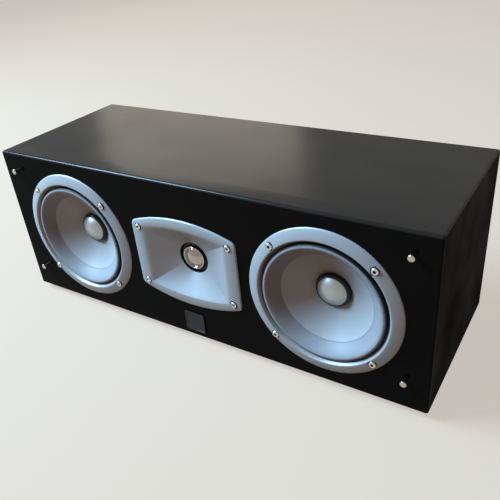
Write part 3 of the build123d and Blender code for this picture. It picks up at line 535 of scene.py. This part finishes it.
def cut(piece, cutter):
    """Take one shape out of another with a Boolean modifier."""
    active(piece)
    hole = piece.modifiers.new("hole", "BOOLEAN")
    hole.object = cutter
    hole.operation = "DIFFERENCE"
    bpy.ops.object.modifier_apply(modifier=hole.name)
    bpy.data.objects.remove(cutter)


def drilled(piece, places, radius, floor, top, angle=30):
    """Sink round holes into a piece, from `top` ahead of the face down to `floor`."""
    for x, z in places:
        bpy.ops.mesh.primitive_cylinder_add(
            vertices=48, radius=radius * MM, depth=(top - floor) * MM,
            location=(x, FACE - (floor + top) / 2 * MM, z), rotation=(pi / 2, 0, 0))
        cut(piece, bpy.context.object)
    bpy.ops.object.shade_smooth_by_angle(angle=radians(angle))


def settle(piece, body, slot, *replaced):
    """Give a piece its finish, hide the CAD nodes that it stands for, and hang it on the body that carries
    it.
    """
    piece.data.materials.clear()
    piece.data.materials.append(FINISHES[slot])
    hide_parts(*replaced)
    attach(piece, body)


print("copies, holes and homes ready")

# %% [markdown]
# The trim ring is a painted casting: a rounded rim, a crowned face that rises towards the cone and a
# bevel down to the surround. It is turned, and its four screw wells are drilled into it before it is
# copied.

# %% Trim rings
SCREW_OFFSET = 44.83 * MM
WELL_RADIUS = 4.0
WELL_TOP = 6.0
RING_SEAT = 2.0
corners = [(x, z) for x in (-SCREW_OFFSET, SCREW_OFFSET) for z in (-SCREW_OFFSET, SCREW_OFFSET)]
wells = [(x - WOOFER_X, z + WOOFER_Z) for x, z in corners]
outline = [(56.6, 0.0), (69.2, 0.0)]
outline += eased((69.2, 0.2), (69.2, 0.9), (68.2, 1.35), 8)
outline += arc((68.2, 1.35), (64.0, 2.95), (59.9, 3.98), 8)[1:]
outline += eased((59.8, 3.98), (59.1, 4.02), (58.7, 3.4), 5)
outline += eased((57.2, 1.1), (56.6, 0.35), (56.6, 0.1), 4)
left_ring = turned("left_silver_ring", outline, -WOOFER_X, WOOFER_Z, steps=160)
drilled(left_ring, wells, WELL_RADIUS, RING_SEAT, WELL_TOP)
right_ring = across(left_ring, "right_silver_ring")
settle(left_ring, "cabinet", "silver_trim", "left_woofer_trim_ring")
settle(right_ring, "cabinet", "silver_trim", "right_woofer_trim_ring")
print(f"trim rings of {len(left_ring.data.polygons)} faces")

# %% [markdown]
# The surround is a roll of rubber between the basket and the cone, steep beside the ring, broad at its
# crest and sloping down to the cone. The outline runs along the upper side first and comes back along the
# lower one.

# %% Surrounds
outline = [(54.3, -1.5), (61.05, -1.5), (61.05, -0.8), (55.4, -0.8)]
outline += eased((55.4, 1.6), (55.3, 3.3), (53.0, 3.6), 8)
outline += eased((53.0, 3.6), (50.7, 3.9), (42.3, -5.5), 28)[1:]
outline += [(41.7, -5.9)]
outline += eased((43.2, -5.9), (50.8, 2.7), (52.6, 2.6), 28)
outline += eased((52.6, 2.6), (54.3, 2.5), (54.4, 0.4), 8)[1:]
left_roll = turned("left_rubber_surround", outline, -WOOFER_X, WOOFER_Z)
right_roll = across(left_roll, "right_rubber_surround")
for side, roll, x in (("left", left_roll, -WOOFER_X), ("right", right_roll, WOOFER_X)):
    roll.data.materials.append(surround_rubber)
    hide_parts(f"{side}_woofer_surround")
    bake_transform(roll)

# %% [markdown]
# The cone flares gently from its neck to its rim. Behind the neck it holds the voice coil, and in front
# of it a glossy collar carries the dust cap. They could be one mesh with three materials, but they are
# three parts on the real driver, so each is turned on its own. All of them move together with the cone's
# body.

# %% Cones
outline = [(13.3, -21.9), (13.3, -26.0), (14.3, -26.0), (14.3, -22.9), (16.4, -22.9)]
outline += arc((16.4, -22.9), (29.0, -16.0), (41.6, -6.9), 32)[1:]
outline += [(44.0, -6.9), (44.0, -5.9), (41.6, -5.9)]
outline += arc((41.6, -5.9), (29.0, -15.0), (16.4, -21.9), 32)[1:]
left_cone = turned("left_spun_cone", outline, -WOOFER_X, WOOFER_Z)
print(f"a cone of {len(left_cone.data.polygons)} faces")

# %% [markdown]
# The cap's outline takes half of an arc from rim to rim: on the way in along the upper side, up to the
# axis, and on the way out along the lower one. Then all three parts are copied across.

# %% Collars and dust caps
outline = [(12.1, -21.9), (16.4, -21.9), (16.4, -21.3)]
outline += eased((16.3, -20.9), (15.4, -18.1), (13.3, -18.1), 8)
outline += [(12.1, -18.1)]
left_collar = turned("left_gloss_collar", outline, -WOOFER_X, WOOFER_Z, steps=96)
outline = [(12.1, -18.1), (13.3, -18.1)]
outline += arc((13.3, -18.1), (0.0, -12.5), (-13.3, -18.1), 40)[1:21]
outline += [(0.0, -13.1)]
outline += arc((-12.1, -18.1), (0.0, -13.1), (12.1, -18.1), 40)[21:-1]
left_cap = turned("left_satin_cap", outline, -WOOFER_X, WOOFER_Z, steps=96, angle=40)
moving = (
    (left_cone, "silver_cone", "cone"),
    (left_collar, "black_gloss_plastic", "cap_collar"),
    (left_cap, "cap_silver", "dust_cap"),
)
for piece, slot, node in moving:
    twin = across(piece, piece.name.replace("left", "right"))
    settle(piece, "left_cone_assembly", slot, f"left_woofer_{node}")
    settle(twin, "right_cone_assembly", slot, f"right_woofer_{node}")
print("cones, collars and caps on both sides")

# %% [markdown]
# The waveguide is a moulded plate with bowed long sides and a horn sunk into it. It could be cut from a
# block, but its walls turn from a rectangle into a circle on their way down. So its front, edge and back
# are one closed skin, laid in rings round the horn. Corner points of every ring are at the same places in
# the list, which keeps a clean crease from each mouth corner to the throat. A ring is a list of (x, z,
# ahead).

# %% Waveguide ring shapes
SIDE, FAN = 24, 8
MOUTH = (45.4, 35.8, 30.5)
PLATE = (58.4, 45.6, 36.3)
mouth_turn = atan2(MOUTH[2], MOUTH[0])


def bowed(sizes, corner, ahead, grow=0.0):
    """A ring with bowed long sides, from its half width, its half height in the middle and at the ends,
    and the radius of its corners."""
    width, middle, end = (size + grow - corner for size in sizes)
    bow = (width * width + (middle - end) ** 2) / (2 * (middle - end))
    half = asin(width / bow)
    top = [half * (1 - 2 * step / SIDE) for step in range(SIDE + 1)]
    turn = [half + (pi / 2 - half) * step / FAN for step in range(1, FAN)]
    ring = [((bow + corner) * sin(a), middle - bow + (bow + corner) * cos(a)) for a in top]
    ring += [(-width - corner * sin(a), end + corner * cos(a)) for a in turn]
    ring += [(-width - corner, end * (1 - 2 * step / SIDE)) for step in range(SIDE + 1)]
    ring += [(-width - corner * sin(a), -end - corner * cos(a)) for a in reversed(turn)]
    ring += [(-x, -z) for x, z in ring]
    return [(x, z, ahead) for x, z in ring]


def circle(radius, ahead):
    """A round ring with its points in the same order."""
    long_side = [mouth_turn + (pi - 2 * mouth_turn) * step / SIDE for step in range(SIDE + 1)]
    short_side = [pi - mouth_turn + 2 * mouth_turn * step / SIDE for step in range(SIDE + 1)]
    turns = long_side + [long_side[-1]] * (FAN - 1) + short_side + [short_side[-1]] * (FAN - 1)
    turns += [turn + pi for turn in turns]
    return [(radius * cos(turn), radius * sin(turn), ahead) for turn in turns]


def between(first, last, shares):
    """A ring part of the way from one ring to another, by one share for all points or one for each."""
    if not isinstance(shares, list):
        shares = [shares] * len(first)
    return [tuple(a + (b - a) * share for a, b in zip(p, q)) for p, q, share in zip(first, last, shares)]


print(f"rings of {len(circle(1.0, 0.0))} points")

# %% [markdown]
# The rings step from the throat up the walls, over the rolled lip, across the plate and back down behind.
# The lip is rounder at the top and the sides than at the bottom, where it is nearly sharp, so the two
# rings beside the lip are drawn towards it by how low a point lies.

# %% Waveguide rings
MOUTH_CORNER, PLATE_CORNER = 0.8, 5.0
THROAT, THROAT_DEPTH = 16.2, -12.0
FLANGE, BORE, FLANGE_DEPTH = 28.0, 16.5, -16.0
throat = circle(THROAT, THROAT_DEPTH)
lip = bowed(MOUTH, MOUTH_CORNER, 2.3)
lower = [min(max((-z - 16.0) / 12.0, 0.0), 1.0) for x, z, ahead in lip]
wall_end = between(throat, lip, [0.88 + 0.09 * low for low in lower])
flat_start = between(bowed((48.2, 37.7, 32.4), 2.4, 2.3), lip, [0.7 * low for low in lower])
shoulder = bowed(PLATE, PLATE_CORNER, 1.75, -1.5)
rings = [between(throat, wall_end, step / 10) for step in range(11)]
for share in [step / 6 for step in range(1, 7)]:
    rings.append(between(between(wall_end, lip, share), between(lip, flat_start, share), share))
for share in (0.25, 0.5, 0.75, 1.0):
    crown = 0.25 * sin(pi * share)
    rings.append([(x, z, ahead + crown) for x, z, ahead in between(flat_start, shoulder, share)])
for grow, ahead in ((-0.8, 1.58), (-0.3, 1.25), (0.0, 0.7), (0.0, 0.0)):
    rings.append(bowed(PLATE, PLATE_CORNER, ahead, grow))
rings.append(bowed(MOUTH, MOUTH_CORNER, 0.0, 2.0))
rings += [circle(THROAT + 2.0, THROAT_DEPTH), circle(FLANGE, THROAT_DEPTH), circle(FLANGE, FLANGE_DEPTH)]
rings += [circle(BORE, FLANGE_DEPTH), circle(BORE, THROAT_DEPTH), throat]
print(f"{len(rings)} rings of {len(throat)} points")

# %% [markdown]
# A grid primitive has its vertices in rows, so vertex number and ring number go together. The last row
# repeats the first and the last column repeats the first, and merging doubles closes the skin in both
# directions.

# %% Waveguide
HORN_SEAT = 0.9
HORN_ANGLE = 28
bpy.ops.object.select_all(action="DESELECT")
bpy.ops.mesh.primitive_grid_add(x_subdivisions=len(throat), y_subdivisions=len(rings) - 1, size=0.1)
horn = bpy.context.object
horn.name = "silver_waveguide"
for vertex in horn.data.vertices:
    row, column = divmod(vertex.index, len(throat) + 1)
    x, z, ahead = rings[row][column % len(throat)]
    vertex.co = (x * MM, FACE - ahead * MM, HORN_Z + z * MM)
bpy.ops.object.mode_set(mode="EDIT")
close_up(horn, HORN_ANGLE)
horn_screws = [(x * MM, HORN_Z + z * MM) for x in (-50.4, 50.4) for z in (-29.6, 29.6)]
drilled(horn, horn_screws, WELL_RADIUS, HORN_SEAT, WELL_TOP, HORN_ANGLE)
settle(horn, "cabinet", "silver_trim", "tweeter_waveguide")
print(f"waveguide of {len(horn.data.polygons)} faces")

# %% [markdown]
# At the bottom of the horn sits the tweeter: a polished metal dome with a formed ring round it, in a
# black roll and a black throat. A half sphere could stand for the dome, but the formed ring is what
# catches the light, so all are turned from outlines. The roll bends like a surround.

# %% Tweeter throat ring and roll
outline = [(15.5, -15.5), (16.2, -15.5), (16.2, -12.2)]
outline += eased((16.1, -12.0), (15.6, -11.9), (15.5, -12.4), 6)
throat_ring = turned("black_throat_ring", outline, 0, HORN_Z, steps=96)
settle(throat_ring, "cabinet", "black_gloss_plastic", "tweeter_throat_ring")
outline = [(12.6, -15.5), (12.6, -14.6)]
outline += arc((12.6, -14.6), (13.9, -13.8), (15.2, -15.5), 16)[1:]
outline += [(16.2, -15.5), (16.2, -16.0), (15.2, -16.0)]
outline += arc((15.2, -16.0), (13.9, -14.3), (12.6, -15.5), 16)[1:-1]
roll = turned("black_roll", outline, 0, HORN_Z, steps=96)
roll.data.materials.append(FINISHES["black_gloss_plastic"])
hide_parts("tweeter_suspension")
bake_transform(roll)

# %% [markdown]
# The dome's outline starts at its foot, goes up and over the formed ring, down into the groove and up to
# the crown, then returns along the inside.

# %% Tweeter dome
outline = [(11.9, -14.6), (12.5, -14.6), (12.5, -14.2)]
outline += eased((12.0, -12.4), (11.9, -11.2), (11.1, -11.2), 6)
outline += eased((10.9, -11.2), (10.3, -11.2), (10.1, -12.2), 5)
outline += [(9.9, -12.35)]
outline += arc((9.7, -12.2), (0.0, -8.4), (-9.7, -12.2), 48)[:25]
outline += [(0.0, -9.0), (5.0, -10.0), (7.8, -11.5), (9.3, -13.0), (9.8, -14.6)]
dome = turned("polished_dome", outline, 0, HORN_Z, steps=96, angle=40)
settle(dome, "dome_assembly", "dome_metal", "tweeter_dome")
print(f"dome of {len(dome.data.polygons)} faces")

# %% [markdown]
# Twelve screws hold the three drivers. One is turned with a domed head, its hexagon socket is cut by a
# Boolean, and the rest are copies of it. Each set of four is one piece, joined, as the CAD model has one
# node for each set. No two sets were driven home alike, so the socket's turn is taken from the length of
# the set's name.

# %% Screws
def in_fours(first, places):
    """Copy a piece from the first place to the others and join them all into it."""
    x, z = places[0]
    others = [copied(first, first.name, (x2 - x, 0, z2 - z)) for x2, z2 in places[1:]]
    active(first)
    for other in others:
        other.select_set(True)
    bpy.ops.object.join()


def screw_set(name, places, seat, node):
    """Four copies of a socket screw whose head rests `seat` mm ahead of the face, joined into one piece."""
    shank, head, foot, crown = 1.75, 3.1, seat - 9.0, seat + 2.4
    x, z = places[0]
    outline = [(0.0, foot), (shank, foot), (shank, seat), (head, seat)]
    outline += eased((head, seat + 1.3), (head, crown), (1.9, crown), 8)
    outline += [(0.0, crown)]
    first = turned(name, outline, x, z, steps=48, angle=35)
    bpy.ops.mesh.primitive_cylinder_add(
        vertices=6, radius=1.5 * MM, depth=3.2 * MM,
        location=(x, FACE - crown * MM, z), rotation=(pi / 2, 0, radians(17 + 41 * len(name))))
    cut(first, bpy.context.object)
    bpy.ops.object.shade_smooth_by_angle(angle=radians(35))
    in_fours(first, places)
    settle(first, "cabinet", "screw_steel", node)


for side, x in (("left", -WOOFER_X), ("right", WOOFER_X)):
    places = [(x + dx, WOOFER_Z + dz) for dx, dz in corners]
    screw_set(f"{side}_ring_screws", places, RING_SEAT, f"{side}_woofer_screws")
screw_set("horn_screws", horn_screws, HORN_SEAT, "tweeter_screws")
print("12 socket screws")

# %% [markdown]
# Boards and plates start as a cube that is stretched between two corners. Which of its edges get a bevel
# is settled by where their two ends are, so a small test is handed in for each choice.

# %% Block tools
def block(name, low, high):
    """A cube stretched between two corners, left in edit mode."""
    bpy.ops.object.select_all(action="DESELECT")
    bpy.ops.mesh.primitive_cube_add(size=1, location=(low + high) / 2)
    piece = bpy.context.object
    piece.name = name
    piece.scale = high - low
    bpy.ops.object.transform_apply(location=True, rotation=True, scale=True)
    bpy.ops.object.mode_set(mode="EDIT")
    return piece


def select_edges(piece, test):
    """In edit mode, select the edges whose two ends pass a test together."""
    bpy.ops.mesh.select_mode(type="EDGE")
    bpy.ops.mesh.select_all(action="DESELECT")
    mesh = bmesh.from_edit_mesh(piece.data)
    for edge in mesh.edges:
        edge.select_set(test(edge.verts[0].co, edge.verts[1].co))
    bmesh.update_edit_mesh(piece.data)


print("block tools ready")

# %% [markdown]
# The baffle is a thick board whose rim is rounded over. It could stay the CAD node, but a highlight runs
# along that rim, so it is modelled again with a finer, rounder bevel: first the four edges that run
# backwards, then the rim of the face. Each woofer gets a rebate for its flange and a hole right through,
# and the horn a window.

# %% Baffle
REBATE_RADIUS, REBATE_DEPTH = 66.4, -4.0
HOLE_RADIUS, HOLE_DEPTH = 56.6, -20.0
BAFFLE_ANGLE = 35
half_width, half_height, margin = 47.7 * MM, 38.1 * MM, 2.0 * MM
low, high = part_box("front_baffle")
baffle = block("polished_baffle", low, high)
select_edges(baffle, lambda a, b: abs(a.y - b.y) > MM)
bpy.ops.mesh.bevel(offset=2.4 * MM, segments=6)
select_edges(baffle, lambda a, b: a.y < low.y + 0.1 * MM and b.y < low.y + 0.1 * MM)
bpy.ops.mesh.bevel(offset=2.0 * MM, segments=10)
close_up(baffle, BAFFLE_ANGLE)
for x in (-WOOFER_X, WOOFER_X):
    drilled(baffle, [(x, WOOFER_Z)], REBATE_RADIUS, REBATE_DEPTH, 2.0, BAFFLE_ANGLE)
    drilled(baffle, [(x, WOOFER_Z)], HOLE_RADIUS, HOLE_DEPTH, 2.0, BAFFLE_ANGLE)
window = block("window", Vector((-half_width, low.y - margin, HORN_Z - half_height)),
               Vector((half_width, high.y + margin, HORN_Z + half_height)))
bpy.ops.object.mode_set(mode="OBJECT")
cut(baffle, window)
bpy.ops.object.shade_smooth_by_angle(angle=radians(BAFFLE_ANGLE))
settle(baffle, "cabinet", "gloss_black_board", "front_baffle")
print(f"baffle of {len(baffle.data.polygons)} faces")

# %% [markdown]
# Four plated pegs hold the frame of the grille cloth, which is off. Each is turned with a slim neck and a
# domed head, and the other three are copies. The CAD node's box says where they are: its corners lie a
# little more than a head's radius outside the axes.

# %% Grille pegs
PEG_EDGE = 2.9 * MM
peg_low, peg_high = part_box("grille_pegs")
peg_reach = (FACE - peg_low.y) / MM
outline = [(0.0, -10.0), (1.4, -10.0), (1.4, 4.4)]
outline += eased((1.4, 4.5), (1.45, 4.85), (2.0, 4.85), 3)
outline += eased((2.35, 4.85), (2.75, 4.85), (2.75, 5.3), 4)
outline += eased((2.75, 5.7), (2.5, peg_reach), (0.0, peg_reach), 12)
peg_x = peg_high.x - PEG_EDGE
places = [(x, z) for x in (-peg_x, peg_x) for z in (peg_low.z + PEG_EDGE, peg_high.z - PEG_EDGE)]
pegs = turned("plated_pegs", outline, *places[0], steps=48, angle=35)
in_fours(pegs, places)
settle(pegs, "cabinet", "peg_metal", "grille_pegs")
print(f"4 pegs that stand {peg_reach:.1f} mm proud")

# %% [markdown]
# The badge is a small black plate. It is left bare, with a fine raised frame. A second, smaller block
# could be cut out of it, but insetting its face three times keeps one clean mesh: the last inset also
# pushes it in.

# %% Badge plate
low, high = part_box("badge_plate")
badge = block("bare_badge", low, high)
select_edges(badge, lambda a, b: abs(a.y - b.y) > 0.5 * MM)
bpy.ops.mesh.bevel(offset=1.5 * MM, segments=5)
bpy.ops.mesh.select_mode(type="FACE")
bpy.ops.mesh.select_all(action="DESELECT")
mesh = bmesh.from_edit_mesh(badge.data)
for face in mesh.faces:
    face.select_set(face.normal.y < -0.9)
bmesh.update_edit_mesh(badge.data)
bpy.ops.mesh.inset(thickness=0.35 * MM, depth=0.0)
bpy.ops.mesh.inset(thickness=0.9 * MM, depth=0.0)
bpy.ops.mesh.inset(thickness=0.1 * MM, depth=-0.3 * MM)
close_up(badge, 25)
settle(badge, "cabinet", "black_gloss_plastic", "badge_plate")
print(f"bare badge plate of {len(badge.data.polygons)} faces")

# %% [markdown]
# At the back, four small screws hold the terminal cup, sunk flush with its flange. They are turned, and
# two thin bars cut the cross recess of the first one before it is copied. The box of the CAD node says
# where they are: its corners are a head's radius outside the axes.

# %% Cup screws
HEAD, HEAD_RISE, SHANK, SCREW_LENGTH = 2.8, 1.2, 1.6, 12.0
low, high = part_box("terminal_cup_screws")
cup_x = (low.x + HEAD * MM, high.x - HEAD * MM)
cup_z = (low.z + HEAD * MM, high.z - HEAD * MM)
cup_places = [(x, z) for x in cup_x for z in cup_z]
crown = (FACE - high.y) / MM
foot = crown + SCREW_LENGTH
neck = crown + HEAD_RISE
outline = [(0.0, foot), (SHANK, foot), (SHANK, neck), (HEAD, neck)]
outline += eased((HEAD, crown + 0.8), (HEAD, crown), (0.0, crown), 10)
cup_screws = turned("cup_screws", outline, *cup_places[0], steps=48, angle=35)
middle = Vector((cup_x[0], high.y, cup_z[0]))
for half_width, half_height in ((0.45, 1.7), (1.7, 0.45)):
    half = Vector((half_width, 0.9, half_height)) * MM
    bar = block("recess_bar", middle - half, middle + half)
    bpy.ops.object.mode_set(mode="OBJECT")
    cut(cup_screws, bar)
bpy.ops.object.shade_smooth_by_angle(angle=radians(35))
in_fours(cup_screws, cup_places)
settle(cup_screws, "cabinet", "screw_steel", "terminal_cup_screws")
print(f"4 cup screws of {len(cup_screws.data.polygons)} faces")

# %% [markdown]
# A plain pale floor carries the speaker and its shadow. It is one large plane, so that no edge of it
# shows from any side, and it is stage, not part of the object. The Light Path node knows what kind of ray
# asks for the colour: rays from the camera and from mirrors see pale paint, lifted a little over half way
# to white. The rays that carry light back to the speaker see a darker brown, which keeps the shade on it
# deep and warm.

# %% Floor
LIFT = 0.55


def seen(place):
    """1 for a ray from the camera, from a mirror or through glass, otherwise 0."""
    rays = [place.node("LightPath", out=f"Is {kind} Ray") for kind in ("Camera", "Glossy", "Transmission")]
    return place.maths("MAXIMUM", rays[0], place.maths("MAXIMUM", rays[1], rays[2]))


floor_paint, place = new_finish("floor_paint")
pale = mixed(noise(place, 300.0), (0.39, 0.285, 0.205), (0.41, 0.305, 0.225))
paint = place.node("BsdfDiffuse", {"Color": mixed(seen(place), (0.17, 0.06, 0.02), pale)})
white = place.node("Emission", {"Color": (1.0, 0.95, 0.88, 1.0), "Strength": 1.0})
lifted = place.node("MixShader", {0: seen(place) * LIFT, 1: paint, 2: white})
place.node("OutputMaterial", {"Surface": lifted})
bpy.ops.object.select_all(action="DESELECT")
bpy.ops.mesh.primitive_plane_add(size=30.0)
floor = bpy.context.object
floor.name = "floor"
floor.data.materials.append(floor_paint)
print("floor laid")

# %% [markdown]
# The key light is a large soft box, high on the left and a little in front, cool like daylight. It rakes
# across the face, so it lights the lower right walls of the cones and leaves the upper left ones in
# shade, as in the photograph. A sun lamp would do that too, but with hard edges to its shadows. A weak
# warm box behind gives the top its sheen, and a dim warm room fills the rest. Camera and mirrors see that
# room as pale as the floor.

# %% Lights
def soft_box(name, place, aim, size, watts, colour):
    """A rectangular area light at one place that faces another."""
    bpy.ops.object.light_add(type="AREA", location=place)
    lamp = bpy.context.object
    lamp.name = name
    lamp.data.shape = "RECTANGLE"
    lamp.data.size, lamp.data.size_y = size
    lamp.data.energy = watts
    lamp.data.color = colour
    lamp.rotation_euler = (Vector(aim) - Vector(place)).to_track_quat("-Z", "Y").to_euler()


soft_box("key_light", (-1.36, -0.58, 1.40), (0.0, -0.08, 0.09), (1.1, 0.8), 148, (0.42, 0.71, 1.0))
soft_box("rim_light", (-1.5, 1.86, 0.92), (0.0, 0.0, 0.17), (1.0, 0.8), 4.6, (1.0, 0.92, 0.76))
world = bpy.data.worlds.new("studio")
world.use_nodes = True
world.node_tree.nodes.clear()
bpy.context.scene.world = world
sky = Signal(world.node_tree)
room = mixed(seen(sky), (0.115, 0.052, 0.027), (0.56, 0.53, 0.49))
glow = sky.node("Background", {"Color": room, "Strength": 1.0})
sky.node("OutputWorld", {"Surface": glow})
print("key light, rim light and room light")
